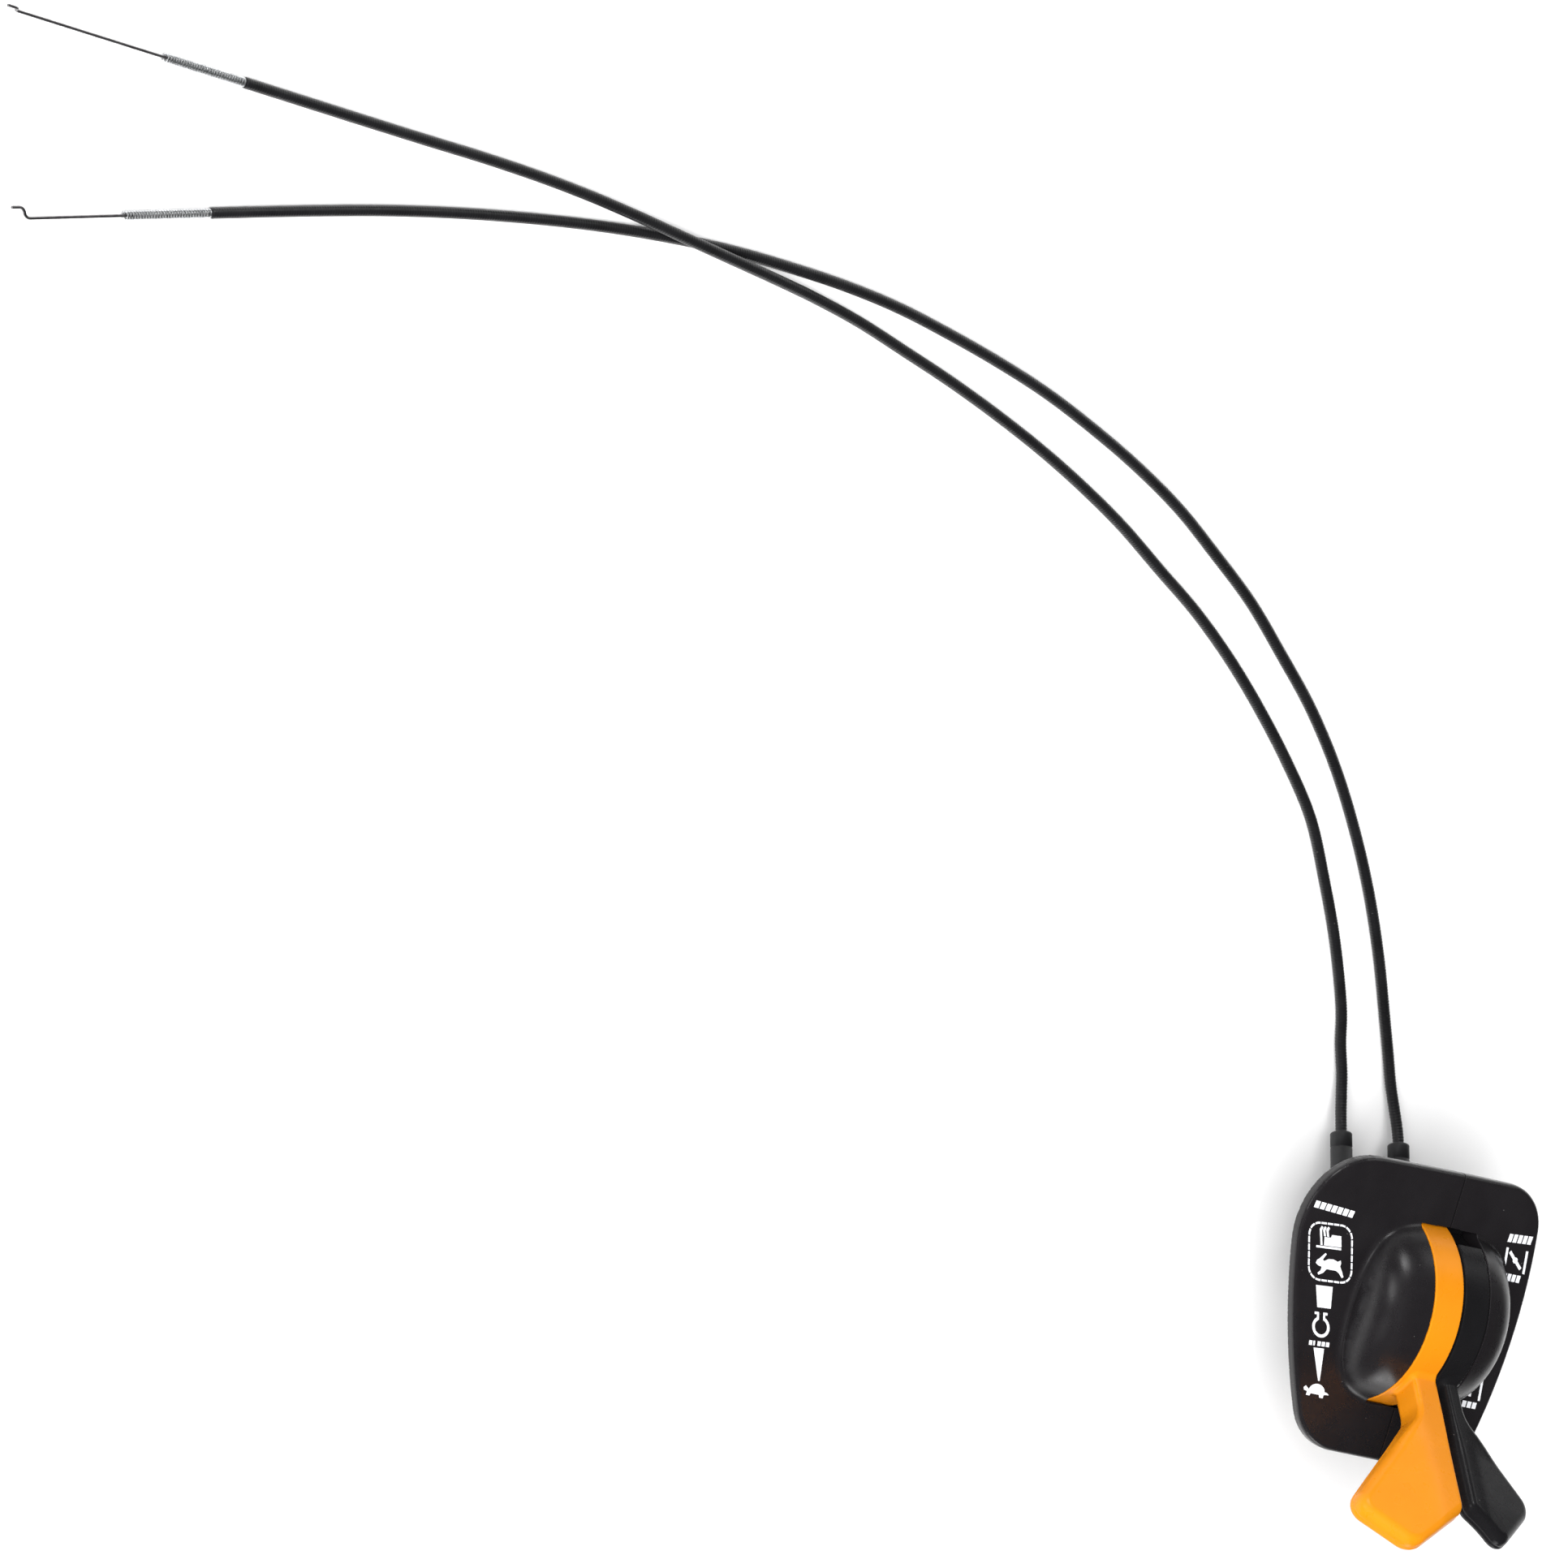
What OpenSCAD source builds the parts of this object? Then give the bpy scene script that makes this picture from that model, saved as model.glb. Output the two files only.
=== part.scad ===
// Dual lever throttle and choke control with two Bowden cables, for a ride-on mower or small engine.
// Frame: +Z points out of the panel, +Y towards the cables and +X towards the choke side. The origin is the
// centre of the four panel screws, on the panel's face. The levers stand in their lowest position.

/* [Levers] */
// Radius of the lever discs
disc_r = 40.6; // [36:0.1:46]
// Width of the throttle lever's disc
throttle_disc_w = 15; // [10:0.1:18]
// Width of the choke lever's disc
choke_disc_w = 12.9; // [10:0.1:18]
// Angle of the lowest lever position above the panel
rest_angle = 44; // [30:1:60]
// Thickness of a lever's stem
stem_t = 14.7; // [10:0.1:18]
// Thickness of a lever's paddle
paddle_t = 9.5; // [6:0.1:14]
// Angle by which a paddle's outer side droops
droop = 12; // [0:1:25]
// Radius of the hole that the wire hooks into
hook_hole_r = 4; // [3.5:0.1:5]

/* [Housing] */
// Height of the plate's face above the panel
plate_t = 5; // [3:0.1:8]
// Depth of the pivot below the panel's face
pivot_depth = 11; // [8:0.1:16]
// Half the width of the drum below the panel
drum_half_w = 21; // [19:0.1:24]
// Wall between the lever discs and the outside of the drum
drum_wall = 2.8; // [2:0.1:4]
// Width of each hump beside the discs
hump_w = 23.2; // [20:0.1:30]
// Wall thickness of the humps and of the plate
wall = 2.4; // [1.8:0.1:4]
// Gap between a moving disc and the housing
gap = 0.4; // [0.3:0.1:1]

/* [Fasteners] */
// Radius of the pivot bolt
bolt_r = 3; // [2.5:0.1:4]
// Outer radius of the pivot sleeve
sleeve_r = 6; // [5:0.1:8]
// Radius of the panel screw holes
panel_hole_r = 1.9; // [1.5:0.1:2.5]
// Spacing of the panel screws across the slot
panel_dx = 62; // [58:1:66]
// Spacing of the panel screws along the slot
panel_dy = 28; // [20:1:34]
// Radius of the housing screws
screw_r = 1.7; // [1.4:0.1:2.2]

/* [Cables] */
// Outer radius of the ferrules
ferrule_r = 4.5; // [4:0.1:6]
// Outer radius of the coated conduit
conduit_r = 2.4; // [2:0.1:3]
// Outer radius of the bare coil at the engine end
coil_r = 2; // [1.5:0.05:2.2]
// Radius of the inner wire
wire_r = 0.6; // [0.4:0.05:0.8]
// Angle by which the cables leave downwards
exit_angle = 28; // [20:1:35]
// Length of wire beyond the throttle coil
throttle_wire_l = 76; // [60:1:90]
// Length of wire beyond the choke coil
choke_wire_l = 45; // [35:1:60]
// Length of each bare coil end
coil_l = 42; // [30:1:60]

/* [Hidden] */
$fn = 96;
overlap = 0.05;

black = [0.13, 0.13, 0.14];
orange = [0.95, 0.58, 0.12];
steel = [0.62, 0.63, 0.65];
ferrule_grey = [0.22, 0.22, 0.23];

pivot = [0, 0, -pivot_depth];
side_gap = 0.3;
// Places on X, for the throttle's side and the choke's side
disc_x = [-throttle_disc_w - side_gap, choke_disc_w + side_gap];   // outer face of each disc
slot_x = disc_x + [-gap, gap];                                     // walls of the slot
cable_x = disc_x + [-1, 1];                                        // the two cables
pocket_x = disc_x + [-2.1, 2.1];                                   // walls behind the wires and washers
cavity_r = disc_r + 0.6;
drum_r = cavity_r + drum_wall;
divider_t = 1.4;
divider_r = 32;
beyond = 60;                          // reaches past the housing in every direction from the pivot
face_t = 11.5;                        // top of a lever above the line through the pivot
hump_power = 3.4;                     // squareness of the humps' shoulders
// Distances from the pivot: ends of a stem's full thickness, starts of the paddle and of its drooping side
stem_start = 22;
stem_end = 62;
paddle_start = 40;
droop_start = 52;
lever_reach = 140;
inner_corner_r = 8;                   // rounding where a stem widens into its paddle
outer_corner_r = 6;                   // rounding of a paddle's corners
// Flat at the upper end of the choke disc: angle from the top of the disc, width and depth
flat_angle = 66;
flat_w = 14;
flat_depth = 5;

// Edge of the plate: height and inset of its bevel, and width of its rim on the panel
bevel_h = 2;
bevel_inset = 1.6;
rim_w = 4;
post_r = 4.5;                         // posts of the panel screws
panel_hole_depth = 11;

// Hexagon of the pivot bolt and its nut, with the washers under them
hex_r = 5.77;
bolt_head_h = 4;
nut_h = 5;
washer_r = 6.2;
washer_t = 1.2;
friction_r = 13.8;

// The plate's corners, anticlockwise from the lower right: [x, y, radius]
// and the radius of the side that follows each
corners = [[24.7, -41, 20], [25.8, 40.5, 20], [-43, 28.5, 32], [-25, -36, 25]];
side_r = [240, 3000, 290, 3000];

// Paddle outlines of the left lever: [distance from the middle, distance from the pivot]
throttle_outline = [[side_gap, 34], [side_gap, 99], [26, 118], [50.5, 100], [12, 56], [12, 34]];
choke_outline = [[4.3, 34], [4.3, 97], [21, 110.5], [45, 88], [12, 56], [12, 34]];

// The line of each wire, seen from the side: distance below the pivot, and stations along it
wire_drop = 16;
hook_s = 10.3;
tail_start_s = 14;
ferrule_s = 40.5;
tail_s = 46;
conduit_s = 69;
tip_s = 73.7;
hook_r = 17.5;                        // distance of the hook's hole from the pivot
hook_l = 5.5;
wire_bore_r = 1.2;                    // bore for the wire through the housing
wire_pocket_r = 30;                   // pocket beside each disc for the wire, with its top below the panel
wire_pocket_z = -9;
tail_half_w = 7.5;
collar_h = 3;                         // collar that holds a ferrule in the housing
collar_rim = 1;
flare_h = 1.1;                        // widened mouth of a ferrule
hook_mid_angle = 270 - exit_angle;
lever_half_travel = 40;

screw_spots = [[-48.5, -8], [48.5, -8], [22, -62]];
screw_half_l = 10;
screw_head_r = 3.6;
screw_head_h = 2.4;
boss_r = 5;
floor_z = -73;
// Foot under the tail: place and size along Y, and height
foot_y = 12;
foot_l = 22;
foot_h = 28;

// Routes of the two conduits: out of the ferrule, down to the floor and along it
throttle_route = [[-16.3, 53.4, -57.5], [-16.3, 57.6, -59.7], [-16.3, 64, -63.1], [-16.6, 71, -66],
    [-18, 80, -68.4], [-22, 92, -70], [-27, 107, -70.6],
    [-40, 132, -70.6], [-55, 156, -70.6], [-71, 179, -70.6],
    [-91, 199, -70.6], [-113, 218, -70.6], [-135, 235, -70.6], [-159, 251, -70.6], [-184, 265, -70.6],
    [-209, 279, -70.6], [-234, 291, -70.6], [-260, 302, -70.6], [-287, 312, -70.6], [-314, 321, -70.6],
    [-341, 329, -70.6], [-369, 337, -70.4], [-396, 343, -69], [-424, 348, -66.3], [-448, 352, -65.4],
    [-472, 356, -65.9], [-496, 360, -68.2], [-520, 363.5, -70.2], [-546, 366.5, -70.6], [-575, 369, -70.6],
    [-606, 371, -70.6], [-638, 373.2, -70.6], [-670, 375.5, -70.6], [-702, 377.8, -70.6]];
choke_route = [[14.2, 53.4, -57.5], [14.2, 57.6, -59.7], [13.5, 64, -63.1], [11.5, 71, -66], [8, 80, -68.4],
    [3.2, 92, -70], [-3, 105, -70.6], [-16, 130, -70.6], [-31, 155, -70.6], [-48, 179, -70.6],
    [-67, 202, -70.6], [-88, 223, -70.6], [-111, 242, -70.6], [-134, 260, -70.6], [-159, 276, -70.6],
    [-184, 291, -70.6], [-211, 304, -70.6], [-238, 315, -70.6], [-266, 325, -70.6], [-294, 333, -70.6],
    [-323, 340, -70.6], [-352, 346, -70.6], [-381, 350, -70.6], [-411, 352.5, -70.6], [-440, 354, -70.6],
    [-469, 354, -70.6], [-498, 353, -70.6], [-527, 351, -70.6], [-557, 348, -70.6], [-586, 344.4, -70.6],
    [-615, 340, -70.6], [-644, 334.8, -70.6], [-672, 329.4, -70.6], [-699, 324, -70.6]];
throttle_end_angle = 176;
choke_end_angle = 191.5;
// Z-bends of the wires: radius and angle of each bend, length between them and beyond them
bend_r = 3.2;
bend_a = 70;
bend_leg = 0.5;
bend_tip = 3.5;
// Turn of each Z-bend about its wire, length of wire inside the coil and of the plug at the coil's root
throttle_roll = 108;
choke_roll = 180;
wire_in_coil = 5;
coil_plug_l = 6;

// ---------- helpers ----------

function lerp(a, b, t) = a + (b - a) * t;
function xy(c) = [c.x, c.y];
// Centre of the large arc of radius r that touches two corner circles from outside
function side_centre(a, b, r) =
    let (d = norm(xy(b) - xy(a)), da = r - a.z, db = r - b.z,
         along = (d * d + da * da - db * db) / (2 * d), u = (xy(b) - xy(a)) / d)
    xy(a) + u * along + [-u.y, u.x] * sqrt(da * da - along * along);
function heading(v) = atan2(v.y, v.x);
function unwrap(a, from) = a < from - 1 ? a + 360 : a;
function arc(c, r, a, b, n) = [for (k = [0:n]) c + r * [cos(lerp(a, b, k / n)), sin(lerp(a, b, k / n))]];

centres = [for (i = [0:3]) side_centre(corners[i], corners[(i + 1) % 4], side_r[i])];
leave = [for (i = [0:3]) heading(xy(corners[i]) - centres[i])];
enter = [for (i = [0:3]) heading(xy(corners[i]) - centres[(i + 3) % 4])];
plate_points = [for (i = [0:3]) each concat(
    arc(xy(corners[i]), corners[i].z, enter[i], unwrap(leave[i], enter[i]), 10),
    arc(centres[i], side_r[i], leave[i], unwrap(enter[(i + 1) % 4], leave[i]), i % 2 == 0 ? 10 : 2))];

// Radius of a hump, at a distance out from the wall of the slot
function hump_r(d) = (disc_r - 0.2 * d) * pow(max(0, 1 - pow(d / hump_w, hump_power)), 1 / hump_power);

module along_x() rotate([90, 0, 90]) children();
module at_pivot() translate(pivot) children();
// Solid of revolution about the pivot, between two places on X
module drum(r, x0, x1) at_pivot() along_x() translate([0, 0, x0]) cylinder(r = r, h = x1 - x0);
module ring(r, hole, x0, x1) difference() {
    drum(r, x0, x1);
    drum(hole, x0 - 1, x1 + 1);
}
// Local frame of a cable: Z runs outwards along the wire, with zero below the pivot
module wire_line(x) at_pivot() translate([x, -wire_drop * sin(exit_angle), -wire_drop * cos(exit_angle)])
    rotate([-90 - exit_angle, 0, 0]) children();
// Local frame of a lever: -Y runs along the arm and Z out of its face
module lever_frame() at_pivot() rotate([-rest_angle, 0, 0]) children();

// ---------- housing ----------

module plate_slab(inset, z0, z1) translate([0, 0, z0]) linear_extrude(z1 - z0) offset(delta = -inset)
    polygon(plate_points);

module hump(inset, x0) {
    w = hump_w - inset;
    profile = [for (k = [0:16]) let (d = hump_w * sin(k * 90 / 16))
        [max(0, hump_r(d) - inset), d * w / hump_w]];
    at_pivot() along_x() translate([0, 0, x0]) rotate_extrude() polygon(concat([[0, 0]], profile));
}

// The space under a hump, around the posts of the panel screws
module hump_hollow(x0) difference() {
    hump(wall, x0);
    drum(beyond, 0, drum_half_w);
    for (y = [-1, 1]) translate([panel_dx / 2, y * panel_dy / 2, -1]) cylinder(r = post_r, h = beyond);
}

module hump_shell(x0) difference() {
    hump(0, x0);
    hump_hollow(x0);
}

module humps() intersection() {
    translate([-beyond, -beyond, 0]) cube([2 * beyond, 2 * beyond, beyond]);
    union() {
        hump_shell(slot_x[1]);
        mirror([1, 0, 0]) hump_shell(-slot_x[0]);
    }
}

module plate() difference() {
    hull() {
        plate_slab(0, 0, plate_t - bevel_h);
        plate_slab(bevel_inset, plate_t - bevel_h, plate_t);
    }
    difference() {
        plate_slab(rim_w, -1, plate_t - wall);
        drum(beyond, -drum_half_w, drum_half_w);
        for (x = [-1, 1], y = [-1, 1]) translate([x * panel_dx / 2, y * panel_dy / 2, -1])
            cylinder(r = post_r, h = beyond);
    }
    hump_hollow(slot_x[1]);
    mirror([1, 0, 0]) hump_hollow(-slot_x[0]);
}

module bosses() {
    for (p = screw_spots) translate([-screw_half_l, p.x, p.y]) along_x()
        cylinder(r = boss_r, h = 2 * screw_half_l);
    // Webs between the upper screws' bosses and the drum
    for (y = [-1, 1]) translate([-screw_half_l, y * 47 - 6.5, -8]) cube([2 * screw_half_l, 13, 8.5]);
}

module tail() {
    w = 2 * tail_half_w;
    for (x = cable_x) wire_line(x) translate([-tail_half_w, -tail_half_w, tail_start_s])
        cube([w, w, tail_s - tail_start_s]);
    wire_line(cable_x[0]) translate([0, -tail_half_w, tail_start_s + 6])
        cube([cable_x[1] - cable_x[0], w, tail_s - tail_start_s - 6]);
    translate([-screw_half_l, foot_y, floor_z]) cube([2 * screw_half_l, foot_l, foot_h]);
}

module cavities() {
    drum(cavity_r, slot_x[0], slot_x[1]);
    intersection() {
        drum(wire_pocket_r, pocket_x[0], pocket_x[1]);
        translate([-beyond / 2, -beyond / 2, wire_pocket_z - beyond]) cube([beyond, beyond, beyond]);
    }
    drum(friction_r + 0.6, pocket_x[0], pocket_x[1]);
    drum(bolt_r + 0.05, -beyond, beyond);
    for (x = cable_x) wire_line(x) {
        translate([0, 0, -4]) cylinder(r = wire_bore_r, h = beyond);
        translate([0, 0, ferrule_s]) cylinder(r = ferrule_r, h = beyond);
        translate([0, 0, ferrule_s]) cylinder(r = ferrule_r + collar_rim, h = collar_h);
    }
    for (p = screw_spots) {
        translate([-20, p.x, p.y]) along_x() cylinder(r = screw_r + 0.4, h = 20);
        translate([0, p.x, p.y]) along_x() cylinder(r = screw_r, h = 20);
    }
    for (x = [-1, 1], y = [-1, 1]) translate([x * panel_dx / 2, y * panel_dy / 2, -1])
        cylinder(r = panel_hole_r, h = panel_hole_depth + 1);
}

module housing() difference() {
    union() {
        plate();
        humps();
        intersection() {
            drum(drum_r, -drum_half_w, drum_half_w);
            translate([-50, -50, -80]) cube([100, 100, 80 + plate_t - wall]);
        }
        translate([-drum_half_w, -drum_r, -pivot_depth])
            cube([2 * drum_half_w, 2 * drum_r, pivot_depth + overlap]);
        bosses();
        tail();
    }
    cavities();
}

module housing_left() color(black) intersection() {
    housing();
    translate([-100, -100, -100]) cube([100, 200, 200]);
}

module housing_right() color(black) intersection() {
    housing();
    translate([0, -100, -100]) cube([100, 200, 200]);
}

// ---------- levers ----------

// Left-hand lever; the choke's is a mirror image with another outline and disc
module lever(outline, disc_w) difference() {
    stem_x = outline[5].x;
    union() {
        drum(disc_r, -disc_w - side_gap, -side_gap);
        lever_frame() {
            translate([0, 0, face_t - stem_t]) linear_extrude(stem_t) intersection() {
                paddle_shape(outline);
                translate([-stem_x, -stem_end]) square([stem_x, stem_end - stem_start]);
            }
            translate([0, 0, face_t - paddle_t]) linear_extrude(paddle_t) intersection() {
                paddle_shape(outline);
                translate([-stem_x, -lever_reach]) square([stem_x, lever_reach - paddle_start]);
            }
            translate([-stem_x, 0, face_t]) rotate([0, -droop, 0]) translate([stem_x, 0, -paddle_t])
                linear_extrude(paddle_t) intersection() {
                    paddle_shape(outline);
                    translate([-beyond, -lever_reach])
                        square([beyond - stem_x + overlap, lever_reach - droop_start]);
                }
        }
    }
    drum(sleeve_r + 0.06, -beyond, beyond);
    drum(divider_r + 1, -divider_t / 2 - side_gap, 1);
    at_pivot() along_x() rotate(hook_mid_angle + lever_half_travel) translate([hook_r, 0, -20])
        cylinder(r = hook_hole_r, h = 40);
}

module paddle_shape(outline) offset(r = -inner_corner_r) offset(delta = inner_corner_r) {
    offset(r = outer_corner_r) offset(delta = -outer_corner_r) polygon([for (p = outline) [-p.x, -p.y]]);
    translate([-outline[5].x, -60]) square([outline[5].x - outline[0].x, 30]);
}

module throttle_lever() color(orange) lever(throttle_outline, throttle_disc_w);

// The choke disc is cut flat where its end shows in the slot
module choke_lever() color(black) difference() {
    mirror([1, 0, 0]) lever(choke_outline, choke_disc_w);
    at_pivot() rotate([-flat_angle, 0, 0]) translate([0, -flat_w / 2, disc_r - flat_depth])
        cube([choke_disc_w + 2, flat_w, 2 * flat_depth]);
}

// ---------- pivot ----------

module pivot_bolt() color(steel) {
    drum(bolt_r, -drum_half_w - washer_t, drum_half_w + washer_t + nut_h + 0.6);
    at_pivot() along_x() translate([0, 0, -drum_half_w - washer_t - bolt_head_h])
        cylinder(r = hex_r, h = bolt_head_h, $fn = 6);
}

module pivot_nut() color(steel) difference() {
    at_pivot() along_x() translate([0, 0, drum_half_w + washer_t]) cylinder(r = hex_r, h = nut_h, $fn = 6);
    drum(bolt_r, 0, beyond);
}

module pivot_washers() color(steel) {
    ring(washer_r, bolt_r + 0.1, -drum_half_w - washer_t, -drum_half_w);
    ring(washer_r, bolt_r + 0.1, drum_half_w, drum_half_w + washer_t);
}

module pivot_sleeve() color(steel) ring(sleeve_r, bolt_r + 0.05, pocket_x[0], pocket_x[1]);

module divider_plate() color(steel) ring(divider_r, sleeve_r, -divider_t / 2, divider_t / 2);

module throttle_friction_washer() color(steel) ring(friction_r, sleeve_r + 0.1, pocket_x[0],
    disc_x[0] - side_gap);

module choke_friction_washer() color(steel) ring(friction_r, sleeve_r + 0.1, disc_x[1] + side_gap,
    pocket_x[1]);

module housing_screws() color(steel) for (p = screw_spots) translate([-screw_half_l, p.x, p.y]) along_x() {
    cylinder(r = screw_r, h = 2 * screw_half_l - 1);
    translate([0, 0, -screw_head_h]) cylinder(r = screw_head_r, h = screw_head_h);
}

// ---------- cables ----------

module ferrule(x) color(ferrule_grey) wire_line(x) difference() {
    union() {
        translate([0, 0, ferrule_s]) cylinder(r = ferrule_r, h = tip_s - ferrule_s);
        translate([0, 0, ferrule_s]) cylinder(r = ferrule_r + collar_rim, h = collar_h);
    }
    translate([0, 0, ferrule_s - 1]) cylinder(r = wire_r + 0.35, h = beyond);
    translate([0, 0, conduit_s]) cylinder(r = conduit_r, h = beyond);
    translate([0, 0, tip_s - 1]) cylinder(r1 = conduit_r, r2 = conduit_r + flare_h, h = flare_h);
}

module throttle_ferrule() ferrule(cable_x[0]);

module choke_ferrule() ferrule(cable_x[1]);

// Tube of one closed surface through the route's points
function direction(p, i) = let (v = p[min(i + 1, len(p) - 1)] - p[max(i - 1, 0)]) v / norm(v);
function sideways(t) = let (v = cross([0, 0, 1], t)) v / norm(v);
module tube(p, r, sides) {
    n = len(p);
    rings = [for (i = [0:n - 1]) let (t = direction(p, i), u = sideways(t), v = cross(t, u))
        each [for (k = [0:sides - 1]) p[i] + r * (cos(k * 360 / sides) * u + sin(k * 360 / sides) * v)]];
    sides_faces = [for (i = [0:n - 2], k = [0:sides - 1])
        let (a = i * sides, b = a + sides, m = (k + 1) % sides)
        each [[a + k, b + k, b + m], [a + k, b + m, a + m]]];
    polyhedron(rings, concat(sides_faces,
        [[for (k = [0:sides - 1]) k]], [[for (k = [0:sides - 1]) n * sides - 1 - k]]), convexity = 10);
}

module throttle_conduit() color(black) tube(throttle_route, conduit_r, 10);

module choke_conduit() color(black) tube(choke_route, conduit_r, 10);

// Local frame at a conduit's far end: X runs on along the cable
module far_end(route, angle) translate(route[len(route) - 1]) rotate(angle) children();

module coil_end(route, angle) color(steel) far_end(route, angle) rotate([0, 90, 0]) difference() {
    cylinder(r = coil_r, h = coil_l, $fn = 32);
    translate([0, 0, coil_plug_l]) cylinder(r = wire_r + 0.25, h = coil_l, $fn = 32);
}

module throttle_coil_end() coil_end(throttle_route, throttle_end_angle);

module choke_coil_end() coil_end(choke_route, choke_end_angle);

// The wire that the lever pulls: straight from the ferrule to the disc, with a hook through the disc's hole
module wire_head(x, turn) color(steel) wire_line(x) translate([0, 0, hook_s]) {
    cylinder(r = wire_r, h = conduit_s - 0.6 - hook_s, $fn = 24);
    rotate([0, turn, 0]) cylinder(r = wire_r, h = hook_l, $fn = 24);
    sphere(r = wire_r, $fn = 24);
}

module throttle_wire_head() wire_head(cable_x[0], 90);

module choke_wire_head() wire_head(cable_x[1], -90);

// The middle of the wire at the engine end, in its own plane: straight along X, then the two bends of the Z
function wire_path(x) = let (a = bend_a, r = bend_r, steps = 6,
    turn = [for (k = [0:steps]) let (b = a * k / steps) [x + r * sin(b), r * (1 - cos(b)), 0]],
    p = turn[steps] + bend_leg * [cos(a), sin(a), 0],
    back = [for (k = [steps:-1:0]) let (b = a * k / steps) p + r * [sin(a) - sin(b), cos(b) - cos(a), 0]])
    concat([[coil_l - wire_in_coil, 0, 0]], turn, back, [back[steps] + [bend_tip, 0, 0]]);

// The wire at the engine end, with its Z-bend turned by roll about the wire
module wire_end(route, angle, length, roll) color(steel) far_end(route, angle) rotate([roll, 0, 0])
    tube(wire_path(coil_l + length), wire_r, 16);

module throttle_wire_end() wire_end(throttle_route, throttle_end_angle, throttle_wire_l, throttle_roll);

module choke_wire_end() wire_end(choke_route, choke_end_angle, choke_wire_l, choke_roll);

// ---------- the assembly ----------

housing_left();
housing_right();
throttle_lever();
choke_lever();
pivot_bolt();
pivot_nut();
pivot_washers();
pivot_sleeve();
divider_plate();
throttle_friction_washer();
choke_friction_washer();
housing_screws();
throttle_ferrule();
choke_ferrule();
throttle_conduit();
choke_conduit();
throttle_coil_end();
choke_coil_end();
throttle_wire_head();
choke_wire_head();
throttle_wire_end();
choke_wire_end();
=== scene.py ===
"""Looks of the dual lever throttle and choke control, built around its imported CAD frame.

Lengths in the shape functions are millimetres in the CAD's frame; meshes are made in metres.
The moulded parts are signed distance fields, turned into closed meshes, so that their fillets are real.
"""

import math

import bpy
import numpy as np
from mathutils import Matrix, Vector
from mathutils.geometry import tessellate_polygon


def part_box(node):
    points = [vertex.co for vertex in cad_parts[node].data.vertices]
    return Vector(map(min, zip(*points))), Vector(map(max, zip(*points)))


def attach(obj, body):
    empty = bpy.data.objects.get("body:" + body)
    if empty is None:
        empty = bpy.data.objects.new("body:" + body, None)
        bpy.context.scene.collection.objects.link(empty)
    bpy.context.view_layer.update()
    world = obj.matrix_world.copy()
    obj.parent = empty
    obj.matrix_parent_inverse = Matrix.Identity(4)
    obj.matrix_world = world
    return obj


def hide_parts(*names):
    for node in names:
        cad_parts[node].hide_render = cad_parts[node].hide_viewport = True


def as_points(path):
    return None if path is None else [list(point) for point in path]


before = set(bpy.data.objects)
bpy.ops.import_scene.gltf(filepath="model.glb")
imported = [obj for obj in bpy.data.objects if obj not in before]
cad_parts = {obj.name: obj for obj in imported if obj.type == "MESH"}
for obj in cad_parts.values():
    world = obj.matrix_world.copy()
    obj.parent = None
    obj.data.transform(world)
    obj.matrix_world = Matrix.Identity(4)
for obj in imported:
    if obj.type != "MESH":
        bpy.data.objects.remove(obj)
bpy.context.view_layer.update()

MM = 0.001
BODY = "housing"

# ---------------------------------------------------------------- dimensions

# Pairs of places on X are for the throttle's side and the choke's side
PIVOT_Z = -11.0
FLOOR_Z = -73.0

# Plate, humps and the posts of the panel screws
PLATE_T = 5.0
WALL = 2.4
RIM_W = 4.0
HUMP_W = 23.2
HUMP_POWER = 3.4
POST_X = 31.0
POST_Y = 14.0
POST_R = 4.5
PANEL_HOLE_R = 1.9
PANEL_HOLE_DEPTH = 11.0

# Drum round the levers' discs, and its slot
CAVITY_R = 41.2
DRUM_R = 44.0
DRUM_X = 21.0
SLOT_X = (-15.7, 13.6)
BOLT_HOLE_R = 3.05

# Pockets beside the discs, for the wires and for the friction washers
POCKET_X = (-17.4, 15.3)
WIRE_POCKET_R = 30.0
WIRE_POCKET_Z = -9.0
WASHER_POCKET_R = 14.4

# Bosses of the screws that join the halves, at (Y, Z), and the webs that tie the upper two to the drum
SCREW_BOSSES = ((-48.5, -8.0), (48.5, -8.0), (22.0, -62.0))
BOSS_R = 5.0
BOSS_X = 10.0
SCREW_THREAD_R = 1.72
SCREW_CLEARANCE_R = 2.1
WEB_Y = 47.0
WEB_HALF = (6.5, 4.2)
WEB_Z = -3.7

# The cables' straight lines below the pivot; S runs along them, towards the ferrules
# and a pair on S is (middle, half length)
CABLE_X = (-16.3, 14.2)
EXIT_ANGLE = math.radians(28)
WIRE_DROP = 16.0
WIRE_BORE_R = 1.2
WIRE_BORE_S = (26.0, 30.0)
FERRULE_S = 40.5
FERRULE_R = 4.5
COLLAR_R = 5.5
COLLAR_H = 3.0
CONDUIT_S = 69.0
TIP_S = 73.7

# Tail that holds the ferrules, and the foot under it: middle and half length
TAIL_S = (32.0, 14.0)
TAIL_HALF_W = 7.5
FOOT_Y = (23.0, 11.0)
FOOT_Z = (-59.0, 14.0)

# Levers, seen from the side: FACE_T and STEM_T lie across the arm, the rest along it or about the pivot
DISC_R = 40.6
DISC_INNER = 0.3
DISC_OUTER = (-15.3, 13.2)
SLEEVE_HOLE_R = 6.06
DIVIDER_POCKET = (33.0, 1.0)
REST_ANGLE = math.radians(44)
DROOP = math.radians(12)
FACE_T = 11.5
STEM_T = 14.7
PADDLE_THINNER = 5.4
TIP_THINNER = 0.8
TIP_DIP = 0.9
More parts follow.
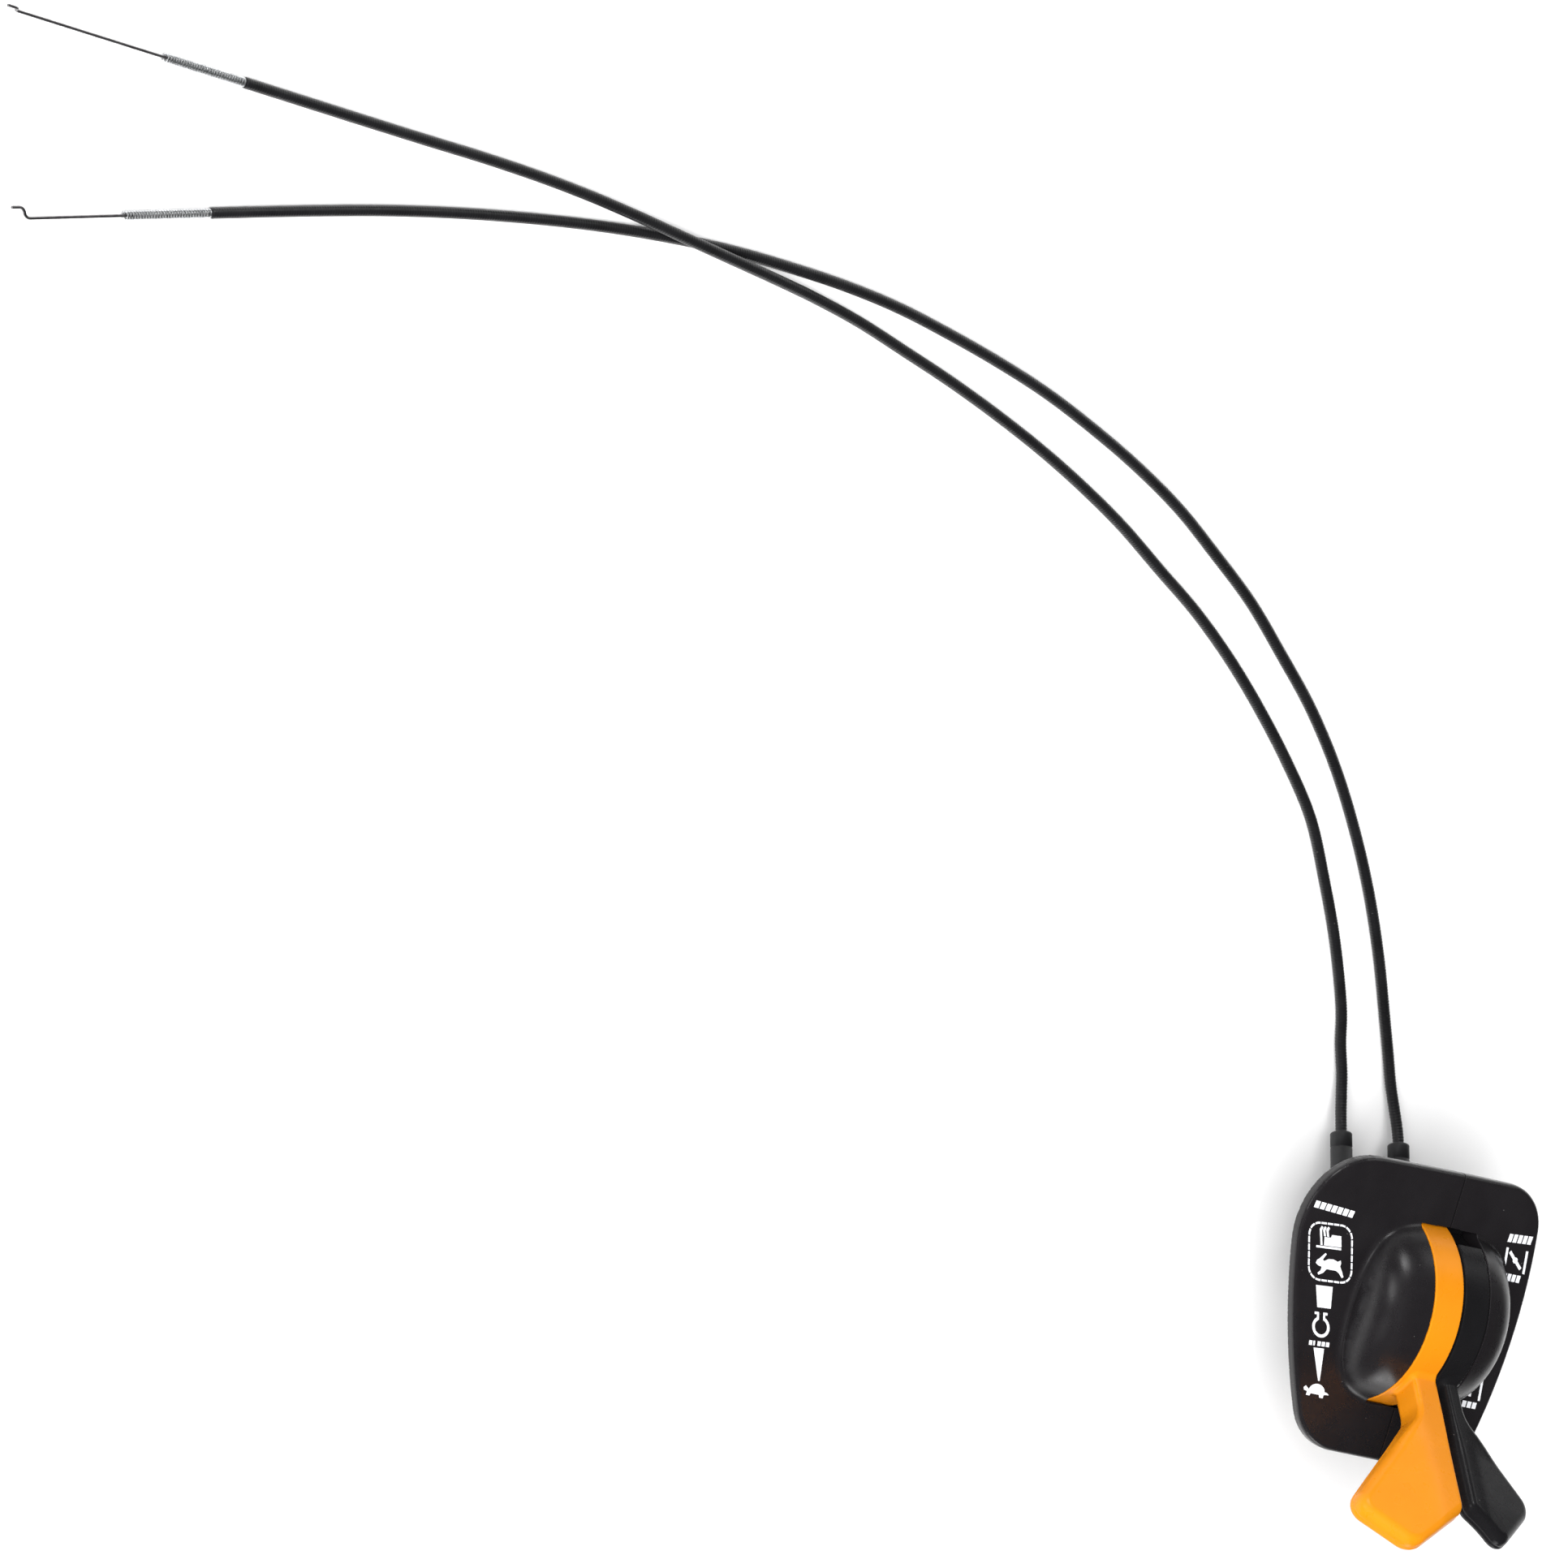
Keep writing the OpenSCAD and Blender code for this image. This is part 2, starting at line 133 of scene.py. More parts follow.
# Stretches of the arm, by distance from the pivot, where the paddle sets in, thins and dips
PADDLE_SPAN = (52, 74)
THIN_SPAN = (80, 118)
DIP_SPAN = (92, 124)
NOTCH_ANGLE = math.radians(66)
NOTCH_DEPTH = 5.0
NOTCH_HALF_W = 7.0
HOOK_R = 17.5
HOOK_HOLE_R = 4.0
HOOK_ANGLE = math.radians(282)

# The plate's corner circles, anticlockwise from the lower right, and the radius of the side after each
CORNERS = ((24.7, -41, 20), (25.8, 40.5, 20), (-43, 28.5, 32), (-25, -36, 25))
SIDE_R = (240, 3000, 290, 3000)

# Lever outlines: distance from the middle, distance from the pivot, corner radius
THROTTLE_OUTLINE = (
    (-1.5, 34, 0), (-1.5, 98.5, 4), (26.3, 118.6, 8), (51.2, 100.3, 7), (12, 56, 12), (12, 34, 0),
)
CHOKE_OUTLINE = ((4.3, 34, 0), (4.3, 97, 5), (21, 111, 7), (45.2, 88.3, 7), (12, 56, 12), (12, 34, 0))

CONDUIT_R = 2.4
COIL_L = 42.0
COIL_R = 2.0
THROTTLE_ROUTE = (
    (-16.3, 53.4, -57.5), (-16.3, 57.6, -59.7), (-16.3, 64, -63.1), (-16.6, 71, -66), (-18, 80, -68.4),
    (-22, 92, -70), (-27, 107, -70.6), (-40, 132, -70.6), (-55, 156, -70.6), (-71, 179, -70.6),
    (-91, 199, -70.6), (-113, 218, -70.6), (-135, 235, -70.6), (-159, 251, -70.6), (-184, 265, -70.6),
    (-209, 279, -70.6), (-234, 291, -70.6), (-260, 302, -70.6), (-287, 312, -70.6), (-314, 321, -70.6),
    (-341, 329, -70.6), (-369, 337, -70.4), (-396, 343, -69), (-424, 348, -66.3), (-448, 352, -65.4),
    (-472, 356, -65.9), (-496, 360, -68.2), (-520, 363.5, -70.2), (-546, 366.5, -70.6), (-575, 369, -70.6),
    (-606, 371, -70.6), (-638, 373.2, -70.6), (-670, 375.5, -70.6), (-702, 377.8, -70.6),
)
CHOKE_ROUTE = (
    (14.2, 53.4, -57.5), (14.2, 57.6, -59.7), (13.5, 64, -63.1), (11.5, 71, -66), (8, 80, -68.4),
    (3.2, 92, -70), (-3, 105, -70.6), (-16, 130, -70.6), (-31, 155, -70.6), (-48, 179, -70.6),
    (-67, 202, -70.6), (-88, 223, -70.6), (-111, 242, -70.6), (-134, 260, -70.6), (-159, 276, -70.6),
    (-184, 291, -70.6), (-211, 304, -70.6), (-238, 315, -70.6), (-266, 325, -70.6), (-294, 333, -70.6),
    (-323, 340, -70.6), (-352, 346, -70.6), (-381, 350, -70.6), (-411, 352.5, -70.6), (-440, 354, -70.6),
    (-469, 354, -70.6), (-498, 353, -70.6), (-527, 351, -70.6), (-557, 348, -70.6), (-586, 344.4, -70.6),
    (-615, 340, -70.6), (-644, 334.8, -70.6), (-672, 329.4, -70.6), (-699, 324, -70.6),
)
THROTTLE_END = math.radians(176)
CHOKE_END = math.radians(191.5)

# ---------------------------------------------------------------- camera and stage

# The camera's axes in the part's frame
VIEW_RIGHT = Vector((0.76719, 0.29170, 0.57126))
VIEW_UP = Vector((-0.16237, 0.94992, -0.26699))
VIEW_BACK = Vector((-0.62053, 0.11207, 0.77613))
# In metres: the picture's width, how far the head lies right of its middle and below it, and the head's X
PICTURE_W = 0.6334
HEAD_RIGHT = 0.2370
HEAD_BELOW = 0.2089
HEAD_X = -0.0155
CAMERA_FAR = 20.0
SENSOR_W = 36


def add_camera():
    """A long lens from the picture's side, with the head low on the right of the frame."""
    head = Vector((HEAD_X, 0, PIVOT_Z * MM))
    target = head - HEAD_RIGHT * VIEW_RIGHT + HEAD_BELOW * VIEW_UP
    data = bpy.data.cameras.new("camera")
    camera = bpy.data.objects.new("camera", data)
    bpy.context.scene.collection.objects.link(camera)
    matrix = camera.matrix_world.copy()
    for column, axis in enumerate((VIEW_RIGHT, VIEW_UP, VIEW_BACK)):
        for row in range(3):
            matrix[row][column] = axis[row]
    matrix.translation = target + VIEW_BACK * CAMERA_FAR
    camera.matrix_world = matrix
    data.sensor_width = SENSOR_W
    data.lens = SENSOR_W * CAMERA_FAR / PICTURE_W
    data.clip_start = 0.1
    data.clip_end = 200
    bpy.context.scene.camera = camera


def add_area(name, place, size, power, aim, shine):
    """A soft lamp: one that shines is only seen as a highlight, the others only light the matt part."""
    data = bpy.data.lights.new(name, "AREA")
    data.energy = power
    data.size = size
    light = bpy.data.objects.new(name, data)
    light.location = place
    light.visible_camera = False
    light.visible_glossy = shine
    light.visible_diffuse = not shine
    light.rotation_euler = (Vector(aim) - Vector(place)).to_track_quat("-Z", "Y").to_euler()
    bpy.context.scene.collection.objects.link(light)


def add_stage():
    """Pale floor, dim even surroundings, four large lamps and five for the highlights."""
    bpy.ops.mesh.primitive_plane_add(size=12, location=(-0.3, 0.2, FLOOR_Z * MM))
    floor = bpy.context.object
    floor.name = "floor"
    material = bpy.data.materials.new("floor_paper")
    material.use_nodes = True
    shader = material.node_tree.nodes["Principled BSDF"]
    shader.inputs["Base Color"].default_value = (0.93, 0.93, 0.93, 1)
    shader.inputs["Roughness"].default_value = 0.9
    floor.data.materials.append(material)
    world = bpy.data.worlds.new("world")
    world.use_nodes = True
    background = world.node_tree.nodes["Background"]
    background.inputs[0].default_value = (1, 1, 1, 1)
    background.inputs[1].default_value = 0.06
    bpy.context.scene.world = world
    bpy.context.scene.view_settings.view_transform = "Standard"
    middle = (-0.35, 0.15, 0)
    for name, place, power in (
        ("top", (-1.6, 0.2, 2.3), 126), ("east", (1.7, 0.4, 2.0), 6),
        ("south", (-0.8, -2.0, 1.9), 46), ("north", (-1.0, 2.4, 1.8), 22),
    ):
        add_area(name, place, 2.0, power, middle, False)
    head = (-0.02, 0, 0)
    for name, place, size, power in (
        ("side", (-0.55, 1.5, 0.82), 0.4, 5.5), ("front", (0.45, -1.7, 0.4), 0.65, 6),
        ("right", (0.85, 1.45, 0.6), 0.6, 2.5), ("left", (-1.45, -0.55, 0.9), 0.7, 1),
        ("crown", (-1.48, 0.58, 0.84), 0.5, 3.5),
    ):
        add_area(name, place, size, power, head, True)


# ---------------------------------------------------------------- mesh helpers


def make_object(name, points, faces, smooth=True, normals=None):
    """An object from points in metres and faces of one size each, given as an integer array."""
    points, faces = np.asarray(points, float), np.asarray(faces, np.int32)
    count, corners = faces.shape
    mesh = bpy.data.meshes.new(name)
    mesh.vertices.add(len(points))
    mesh.vertices.foreach_set("co", points.astype(np.float32).ravel())
    mesh.loops.add(count * corners)
    mesh.loops.foreach_set("vertex_index", faces.ravel())
    mesh.polygons.add(count)
    mesh.polygons.foreach_set("loop_start", np.arange(0, count * corners, corners, dtype=np.int32))
    mesh.update(calc_edges=True)
    mesh.polygons.foreach_set("use_smooth", np.full(count, smooth))
    if normals is not None:
        mesh.normals_split_custom_set_from_vertices(normals.astype(np.float32))
    thing = bpy.data.objects.new(name, mesh)
    bpy.context.scene.collection.objects.link(thing)
    return thing


def clip_round(a, b, r):
    """Where both fields are inside, with edges rounded to radius r."""
    return np.minimum(np.maximum(a, b), -r) + np.hypot(np.maximum(a + r, 0), np.maximum(b + r, 0))


def join_round(a, b, r):
    """Where either field is inside, with a fillet of radius r."""
    return np.maximum(np.minimum(a, b), r) - np.hypot(np.maximum(r - a, 0), np.maximum(r - b, 0))


def smooth_step(x, low, high):
    """0 up to low and 1 from high on, with a smooth rise between them."""
    t = np.clip((x - low) / (high - low), 0, 1)
    return t * t * (3 - 2 * t)


class Outline:
    """Signed distance to a closed outline, looked up on a fine grid."""

    def __init__(self, points, step=0.25, margin=12):
        points = np.array(points, float)
        self.step = step
        self.low = points.min(0) - margin
        size = np.ceil((points.max(0) + margin - self.low) / step).astype(int) + 1
        x, y = np.meshgrid(*(self.low[k] + step * np.arange(size[k]) for k in (0, 1)), indexing="ij")
        best = np.full(x.shape, np.inf)
        inside = np.zeros(x.shape, bool)
        for (ax, ay), (bx, by) in zip(points, np.roll(points, -1, 0)):
            dx, dy = bx - ax, by - ay
            along = np.clip(((x - ax) * dx + (y - ay) * dy) / max(dx * dx + dy * dy, 1e-12), 0, 1)
            best = np.minimum(best, np.hypot(x - ax - along * dx, y - ay - along * dy))
            if ay != by:
                inside ^= ((ay > y) != (by > y)) & (x < ax + (y - ay) * dx / dy)
        self.grid = np.where(inside, -best, best)

    def __call__(self, x, y):
        top = np.array(self.grid.shape) - 2
        u, v = (x - self.low[0]) / self.step, (y - self.low[1]) / self.step
        cu, cv = np.clip(u, 0, top[0] + 1), np.clip(v, 0, top[1] + 1)
        i, j = np.minimum(cu.astype(int), top[0]), np.minimum(cv.astype(int), top[1])
        fu, fv = cu - i, cv - j
        g = self.grid
        lower = g[i, j] * (1 - fu) + g[i + 1, j] * fu
        upper = g[i, j + 1] * (1 - fu) + g[i + 1, j + 1] * fu
        inner = lower * (1 - fv) + upper * fv
        return inner + np.hypot(u - cu, v - cv) * self.step


def rounded(corners):
    """The outline through corners of (x, y, radius), with an arc at each corner that has a radius."""
    line = []
    for k, (x, y, r) in enumerate(corners):
        here = np.array((x, y), float)
        a = np.array(corners[k - 1][:2], float) - here
        b = np.array(corners[(k + 1) % len(corners)][:2], float) - here
        a, b = a / np.linalg.norm(a), b / np.linalg.norm(b)
        half = math.acos(float(np.clip(a @ b, -1, 1))) / 2
        if r == 0 or half > 1.56:
            line.append(here)
            continue
        middle = (a + b) / np.linalg.norm(a + b)
        centre = here + middle * r / math.sin(half)
        start = here + a * r / math.tan(half) - centre
        turn = math.pi - 2 * half
        sign = 1 if a[0] * b[1] - a[1] * b[0] < 0 else -1
        for t in np.linspace(0, turn, 9) * sign:
            c, s = math.cos(t), math.sin(t)
            line.append(centre + (start[0] * c - start[1] * s, start[0] * s + start[1] * c))
    return line


def net(field, low, high, step):
    """A field's zero surface as points, quads and normals, with one point in each cell it crosses."""
    block = 8
    low, high = np.array(low, float), np.array(high, float)
    blocks = np.ceil((high - low) / (step * block)).astype(int)
    places = np.stack(np.meshgrid(*(np.arange(n) for n in blocks), indexing="ij"), -1).reshape(-1, 3)
    coarse = field(low + (places + 0.5) * block * step)
    dense = coarse.reshape(blocks).astype(np.float32)
    for axis in range(3):
        dense = np.repeat(dense, block, axis)
    offsets = np.stack(np.meshgrid(*[np.arange(block)] * 3, indexing="ij"), -1).reshape(-1, 3)
    near = places[np.abs(coarse) < block * step * 1.35 + 1]
    for start in range(0, len(near), 600):
        at = (near[start : start + 600, None] * block + offsets).reshape(-1, 3)
        dense[tuple(at.T)] = field(low + (at + 0.5) * step)
    inside = dense < 0
    n = np.array(inside.shape)
    total = sum(
        inside[i : n[0] - 1 + i, j : n[1] - 1 + j, k : n[2] - 1 + k].astype(np.int8)
        for i in (0, 1) for j in (0, 1) for k in (0, 1)
    )
    cells = np.argwhere((total > 0) & (total < 8))
    index = np.full(n - 1, -1, np.int32)
    index[tuple(cells.T)] = np.arange(len(cells))
    sums, hits = np.zeros((len(cells), 3)), np.zeros(len(cells))
    for axis in range(3):
        others = [k for k in range(3) if k != axis]
        for a in (0, 1):
            for b in (0, 1):
                one = np.zeros(3, int)
                one[others[0]], one[others[1]] = a, b
                two = one.copy()
                two[axis] = 1
                va, vb = dense[tuple((cells + one).T)], dense[tuple((cells + two).T)]
                crossing = (va < 0) != (vb < 0)
                t = np.where(crossing, va / np.where(crossing, va - vb, 1), 0)
                place = one + (two - one) * t[:, None]
                sums += place * crossing[:, None]
                hits += crossing
    points = low + (cells + 0.5 + sums / hits[:, None]) * step
    points, normals = settle(field, points, step)
    quads = []
    for axis in range(3):
        b, c = (axis + 1) % 3, (axis + 2) % 3
        along = np.moveaxis(inside, axis, 0)
        flips = np.argwhere(along[:-1] != along[1:])
        full = np.zeros((len(flips), 3), int)
        rest = [k for k in range(3) if k != axis]
        full[:, axis], full[:, rest[0]], full[:, rest[1]] = flips[:, 0], flips[:, 1], flips[:, 2]
        full = full[((full[:, rest] > 0) & (full[:, rest] < n[rest] - 1)).all(1)]
        ring = []
        for db, dc in ((-1, -1), (0, -1), (0, 0), (-1, 0)):
            shift = np.zeros(3, int)
            shift[b], shift[c] = db, dc
            ring.append(index[tuple((full + shift).T)])
        ring = np.stack(ring, 1)
        outward = inside[tuple(full.T)]
        ring[~outward] = ring[~outward][:, ::-1]
        quads.append(ring)
    return points, np.concatenate(quads), normals


def slope_of(field, points, h):
    """The field's slope at each point, from differences h to either side."""
    slope = np.empty_like(points)
    for axis in range(3):
        d = np.zeros(3)
        d[axis] = h
        slope[:, axis] = (field(points + d) - field(points - d)) / (2 * h)
    return slope


def settle(field, points, step):
    """Moves the net's points onto the surface, and gives the surface's normals there."""
    for _ in range(3):
        slope = slope_of(field, points, 0.05)
        move = -slope * (field(points) / np.maximum((slope**2).sum(1), 0.2))[:, None]
        size = np.linalg.norm(move, axis=1)
        points = points + move * np.minimum(1, 0.6 * step / np.maximum(size, 1e-9))[:, None]
    slope = slope_of(field, points, 0.12)
    return points, slope / np.maximum(np.linalg.norm(slope, axis=1), 1e-9)[:, None]


def moulding(name, field, low, high, step):
    """A closed mesh of a field's inside, with cells of about step mm."""
    spacing = step * 1
    points, quads, normals = net(lambda p: field(p[:, 0], p[:, 1], p[:, 2]), low, high, spacing)
    return make_object(name, points * MM, quads, normals=normals)


def smooth_route(route, step):
    """Points about step apart on a smooth curve through a route's points."""
    p = np.array(route, float)
    p = np.concatenate([[2 * p[0] - p[1]], p, [2 * p[-1] - p[-2]]])
    t = np.linspace(0, 1, 24, endpoint=False)[:, None]
    curve = []
    for a, b, c, d in zip(p, p[1:], p[2:], p[3:]):
        square, cube = 2 * a - 5 * b + 4 * c - d, 3 * b - a - 3 * c + d
        curve.append(0.5 * (2 * b + (c - a) * t + square * t**2 + cube * t**3))
    curve = np.concatenate(curve + [p[-2:-1]])
    along = np.r_[0, np.cumsum(np.linalg.norm(np.diff(curve, axis=0), axis=1))]
    at = np.linspace(0, along[-1], int(math.ceil(along[-1] / step)) + 1)
    return np.stack([np.interp(at, along, curve[:, k]) for k in range(3)], 1), at


def sweep(name, line, radii, sides=16):
    """A closed tube of varying radius along a line, in metres, with flat ends."""
    tangent = np.gradient(line, axis=0)
    tangent /= np.linalg.norm(tangent, axis=1)[:, None]
    u = np.cross(tangent[0], (0.02, 0.03, 1))
    u /= np.linalg.norm(u)
    rings = []
    angle = np.arange(sides) * 2 * math.pi / sides
    for p, t, r in zip(line, tangent, radii):
        u = u - t * (u @ t)
        u /= np.linalg.norm(u)
        v = np.cross(t, u)
        rings.append(p + r * (np.cos(angle)[:, None] * u + np.sin(angle)[:, None] * v))
    points = np.concatenate(rings + [line[:1], line[-1:]])
    a = np.arange(sides)
    b = (a + 1) % sides
    starts = range(0, sides * (len(line) - 1), sides)
    quads = [np.stack([a + k, b + k, b + k + sides, a + k + sides], 1) for k in starts]
    first, last = len(points) - 2, len(points) - 1
    top = sides * (len(line) - 1)
    first_cap = np.stack([b, a, np.full(sides, first)], 1)
    last_cap = np.stack([a + top, b + top, np.full(sides, last)], 1)
    caps = np.concatenate([first_cap, last_cap])
    quads = np.concatenate(quads)
    triangles = np.concatenate([quads[:, [0, 1, 2]], quads[:, [0, 2, 3]], caps])
    return make_object(name, points, triangles)


def lathe(name, profile, origin, axis, across, segments=64):
    """A closed solid of revolution; profile is a loop of (distance along the axis, radius), in mm."""
    profile = np.array(profile, float)
    axis, across = np.array(axis, float), np.array(across, float)
    other = np.cross(axis, across)
    angle = np.arange(segments) * 2 * math.pi / segments
    ring = np.cos(angle)[:, None] * across + np.sin(angle)[:, None] * other
    points = np.concatenate([np.array(origin) + s * axis + r * ring for s, r in profile]) * MM
    a = np.arange(segments)
    b = (a + 1) % segments
    quads = []
    for k in range(len(profile)):
        m = (k + 1) % len(profile)
        quads.append(np.stack([a + k * segments, a + m * segments, b + m * segments, b + k * segments], 1))
    return make_object(name, points, np.concatenate(quads))


# ---------------------------------------------------------------- cords


def wire_line(side, s):
    """A point on a cable's straight line below the pivot, s mm towards the ferrule."""
    return np.array((
        CABLE_X[side],
        -WIRE_DROP * math.sin(EXIT_ANGLE) + s * math.cos(EXIT_ANGLE),
        PIVOT_Z - WIRE_DROP * math.cos(EXIT_ANGLE) - s * math.sin(EXIT_ANGLE),
    ))


def add_conduit(name, route, node):
    """Plastic jacket drawn tight over a wound coil, so that the turns show as fine ribs."""
    rib, relief = 1.25, 0.075
    crimp, crimp_l = 0.25, 0.6
    line, along = smooth_route(route, rib / (4))
    radii = CONDUIT_R - relief + relief * np.cos(2 * math.pi * along / rib)
    to_end = along[-1] - along
    radii = radii - crimp * np.clip(1 - to_end / crimp_l, 0, 1)
    tube = sweep(name, line * MM, radii * MM)
    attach(tube, BODY)
    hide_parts(node)
    return tube, line * MM, along[-1] * MM


def add_coil(name, start, angle, node):
    """The bare end of the conduit's wound coil."""
    pitch, strand, margin = 1.36, 0.42, 0.3
    turns = COIL_L / pitch
    per_turn = 26
    t = np.linspace(0, turns, int(turns * per_turn))
    middle = COIL_R - strand + 0.02
    along = np.array((math.cos(angle), math.sin(angle), 0))
    across = np.array((-math.sin(angle), math.cos(angle), 0))
    up = np.array((0, 0, 1))
    turn = 2 * math.pi * t
    spin = np.outer(np.cos(turn), across) + np.outer(np.sin(turn), up)
    line = start + np.outer(margin + t * (COIL_L - 2 * margin) / turns, along) + middle * spin
    coil = sweep(name, line * MM, np.full(len(line), strand * MM), 8)
    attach(coil, BODY)
    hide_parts(node)
    return coil


def add_ferrule(name, side, node):
    """Moulded ferrule with a rounded mouth, which the conduit sits in."""
    r, bevel, depth = FERRULE_R, 0.3, 0.25
    edge_r, lip_r = 1.0, 0.9
    bore_r, seat_r = 0.95, 2.45
    start, stop = FERRULE_S, FERRULE_S + COLLAR_H
    collar = [(start, COLLAR_R - bevel), (start + bevel, COLLAR_R), (stop - bevel, COLLAR_R)]
    collar += [(stop, COLLAR_R - bevel), (stop, r)]
    groove = [(66.9, r), (67.1, r - depth), (67.5, r - depth), (67.7, r)]
    edge = []
    for a in np.linspace(0, math.pi / 2, 7):
        edge.append((TIP_S - edge_r + edge_r * math.sin(a), r - edge_r + edge_r * math.cos(a)))
    lip = []
    for a in np.linspace(0.2, math.pi / 2, 6):
        lip.append((TIP_S - lip_r * math.sin(a), r - edge_r - lip_r * (1 - math.cos(a))))
    profile = [(start, bore_r)] + collar + groove + edge + lip + [(CONDUIT_S, seat_r), (CONDUIT_S, bore_r)]
    axis = (0, math.cos(EXIT_ANGLE), -math.sin(EXIT_ANGLE))
    ferrule = lathe(name, profile, wire_line(side, 0), axis, (1, 0, 0))
    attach(ferrule, BODY)
    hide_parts(node)
    return ferrule


def add_cable(kind, side, route, angle):
    """One cable: its ferrule, its conduit and the conduit's bare coil end."""
    ferrule = add_ferrule(f"{kind}_ferrule_moulding", side, f"{kind}_ferrule")
    conduit, line, length = add_conduit(f"{kind}_conduit_jacket", route, f"{kind}_conduit")
    coil = add_coil(f"{kind}_coil_turns", np.array(route[-1], float), angle, f"{kind}_coil_end")
    tuple(line[0])
    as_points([tuple(p) for p in line[::8]] + [tuple(line[-1])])
    dress(ferrule, ferrule_plastic)
    dress(conduit, jacket_plastic)
    dress(coil, coil_steel)


# ---------------------------------------------------------------- materials


MATERIALS = {}


def dress(thing, make):
    """Gives a piece one material, made once and shared by all the pieces that use it."""
    if make not in MATERIALS:
        MATERIALS[make] = make()
    thing.data.materials.clear()
    thing.data.materials.append(MATERIALS[make])


def new_material(name, rough, colour):
    """A material with its node lists and its shader, ready for texture nodes."""
    material = bpy.data.materials.new("detailed_" + name)
    material.use_nodes = True
    nodes, links = material.node_tree.nodes, material.node_tree.links
    shader = nodes["Principled BSDF"]
    shader.inputs["Roughness"].default_value = rough
    shader.inputs["Base Color"].default_value = (*colour, 1)
    return material, nodes, links, shader


def place_node(nodes):
    """Object coordinates, in metres, which move with the piece."""
    return nodes.new("ShaderNodeTexCoord").outputs["Object"]


def noise(nodes, links, where, scale, detail=3.0):
    """Cloudy noise, with scale patches to the metre."""
    n = nodes.new("ShaderNodeTexNoise")
    n.inputs["Scale"].default_value = scale
    n.inputs["Detail"].default_value = detail
    n.inputs["Roughness"].default_value = 0.55
    links.new(where, n.inputs["Vector"])
    return n.outputs["Fac"]


def ramp(nodes, links, value, stops):
    """Maps a value to a colour or a number; stops are (position, colour or number)."""
    r = nodes.new("ShaderNodeValToRGB")
    while len(r.color_ramp.elements) < len(stops):
        r.color_ramp.elements.new(0.5)
    for element, (place, colour) in zip(r.color_ramp.elements, stops):
        element.position = place
        colour = (colour, colour, colour) if isinstance(colour, (int, float)) else colour
        element.color = (*colour, 1)
    links.new(value, r.inputs["Fac"])
    return r.outputs["Color"]


def add_bump(nodes, links, shader, height, strength, distance):
    """Fine relief of a height value, distance metres high at full strength."""
    b = nodes.new("ShaderNodeBump")
    b.inputs["Strength"].default_value = strength
    b.inputs["Distance"].default_value = distance
    links.new(height, b.inputs["Height"])
    links.new(b.outputs["Normal"], shader.inputs["Normal"])


def plastic(name, dark, light, rough_low, rough_high, grain, gloss):
    """Moulded plastic: faint cloudy colour, uneven gloss, fine moulded grain and a few specks of dust."""
    material, nodes, links, shader = new_material(name, rough_low, light)
    where = place_node(nodes)
    cloud = noise(nodes, links, where, 60)
    colour = ramp(nodes, links, cloud, [(0.3, dark), (0.7, light)])
    dust = nodes.new("ShaderNodeTexVoronoi")
    dust.inputs["Scale"].default_value = 160
    links.new(where, dust.inputs["Vector"])
    speck = ramp(nodes, links, dust.outputs["Distance"], [(0.0, 0.55), (0.035, 0.0)])
    mix = nodes.new("ShaderNodeMixRGB")
    mix.inputs["Color2"].default_value = (0.45, 0.44, 0.43, 1)
    links.new(speck, mix.inputs["Fac"])
    links.new(colour, mix.inputs["Color1"])
    links.new(mix.outputs["Color"], shader.inputs["Base Color"])
    uneven = ramp(nodes, links, noise(nodes, links, where, 180), [(0.3, rough_low), (0.75, rough_high)])
    links.new(uneven, shader.inputs["Roughness"])
    add_bump(nodes, links, shader, noise(nodes, links, where, 2600, 2.0), grain, 0.00004)
    shader.inputs["Specular IOR Level"].default_value = gloss
    return material


def housing_plastic():
    dark, light = (0.0088, 0.0078, 0.0088), (0.0115, 0.0104, 0.0116)
    return plastic("housing_plastic", dark, light, 0.25, 0.33, 0.2, 0.40)


def orange_plastic():
    dark, light = (0.65, 0.215, 0.005), (0.69, 0.232, 0.006)
    return plastic("orange_plastic", dark, light, 0.26, 0.33, 0.10, 0.24)


def black_plastic():
    dark, light = (0.0070, 0.0068, 0.0075), (0.0092, 0.0090, 0.0098)
    return plastic("black_plastic", dark, light, 0.24, 0.31, 0.12, 0.16)


def ferrule_plastic():
    dark, light = (0.009, 0.009, 0.010), (0.014, 0.014, 0.015)
    return plastic("ferrule_plastic", dark, light, 0.42, 0.52, 0.3, 0.4)


def jacket_plastic():
    dark, light = (0.006, 0.006, 0.0065), (0.010, 0.010, 0.011)
    return plastic("jacket_plastic", dark, light, 0.30, 0.42, 0.2, 0.4)


def metal(name, dark, light, rough_low, rough_high):
    """Drawn or plated steel: cloudy tone, uneven gloss and fine relief."""
    material, nodes, links, shader = new_material(name, rough_low, light)
    where = place_node(nodes)
    shader.inputs["Metallic"].default_value = 1
    cloud = ramp(nodes, links, noise(nodes, links, where, 350), [(0.3, dark), (0.7, light)])
    links.new(cloud, shader.inputs["Base Color"])
    uneven = ramp(nodes, links, noise(nodes, links, where, 900), [(0.3, rough_low), (0.75, rough_high)])
    links.new(uneven, shader.inputs["Roughness"])
    add_bump(nodes, links, shader, noise(nodes, links, where, 1800), 0.2, 0.00003)
    return material


def coil_steel():
    return metal("coil_steel", (0.50, 0.51, 0.52), (0.68, 0.69, 0.70), 0.25, 0.4)


def wire_steel():
    return metal("wire_steel", (0.13, 0.125, 0.13), (0.22, 0.215, 0.22), 0.32, 0.5)


def zinc_steel():
    return metal("zinc_steel", (0.48, 0.49, 0.50), (0.64, 0.65, 0.66), 0.28, 0.45)


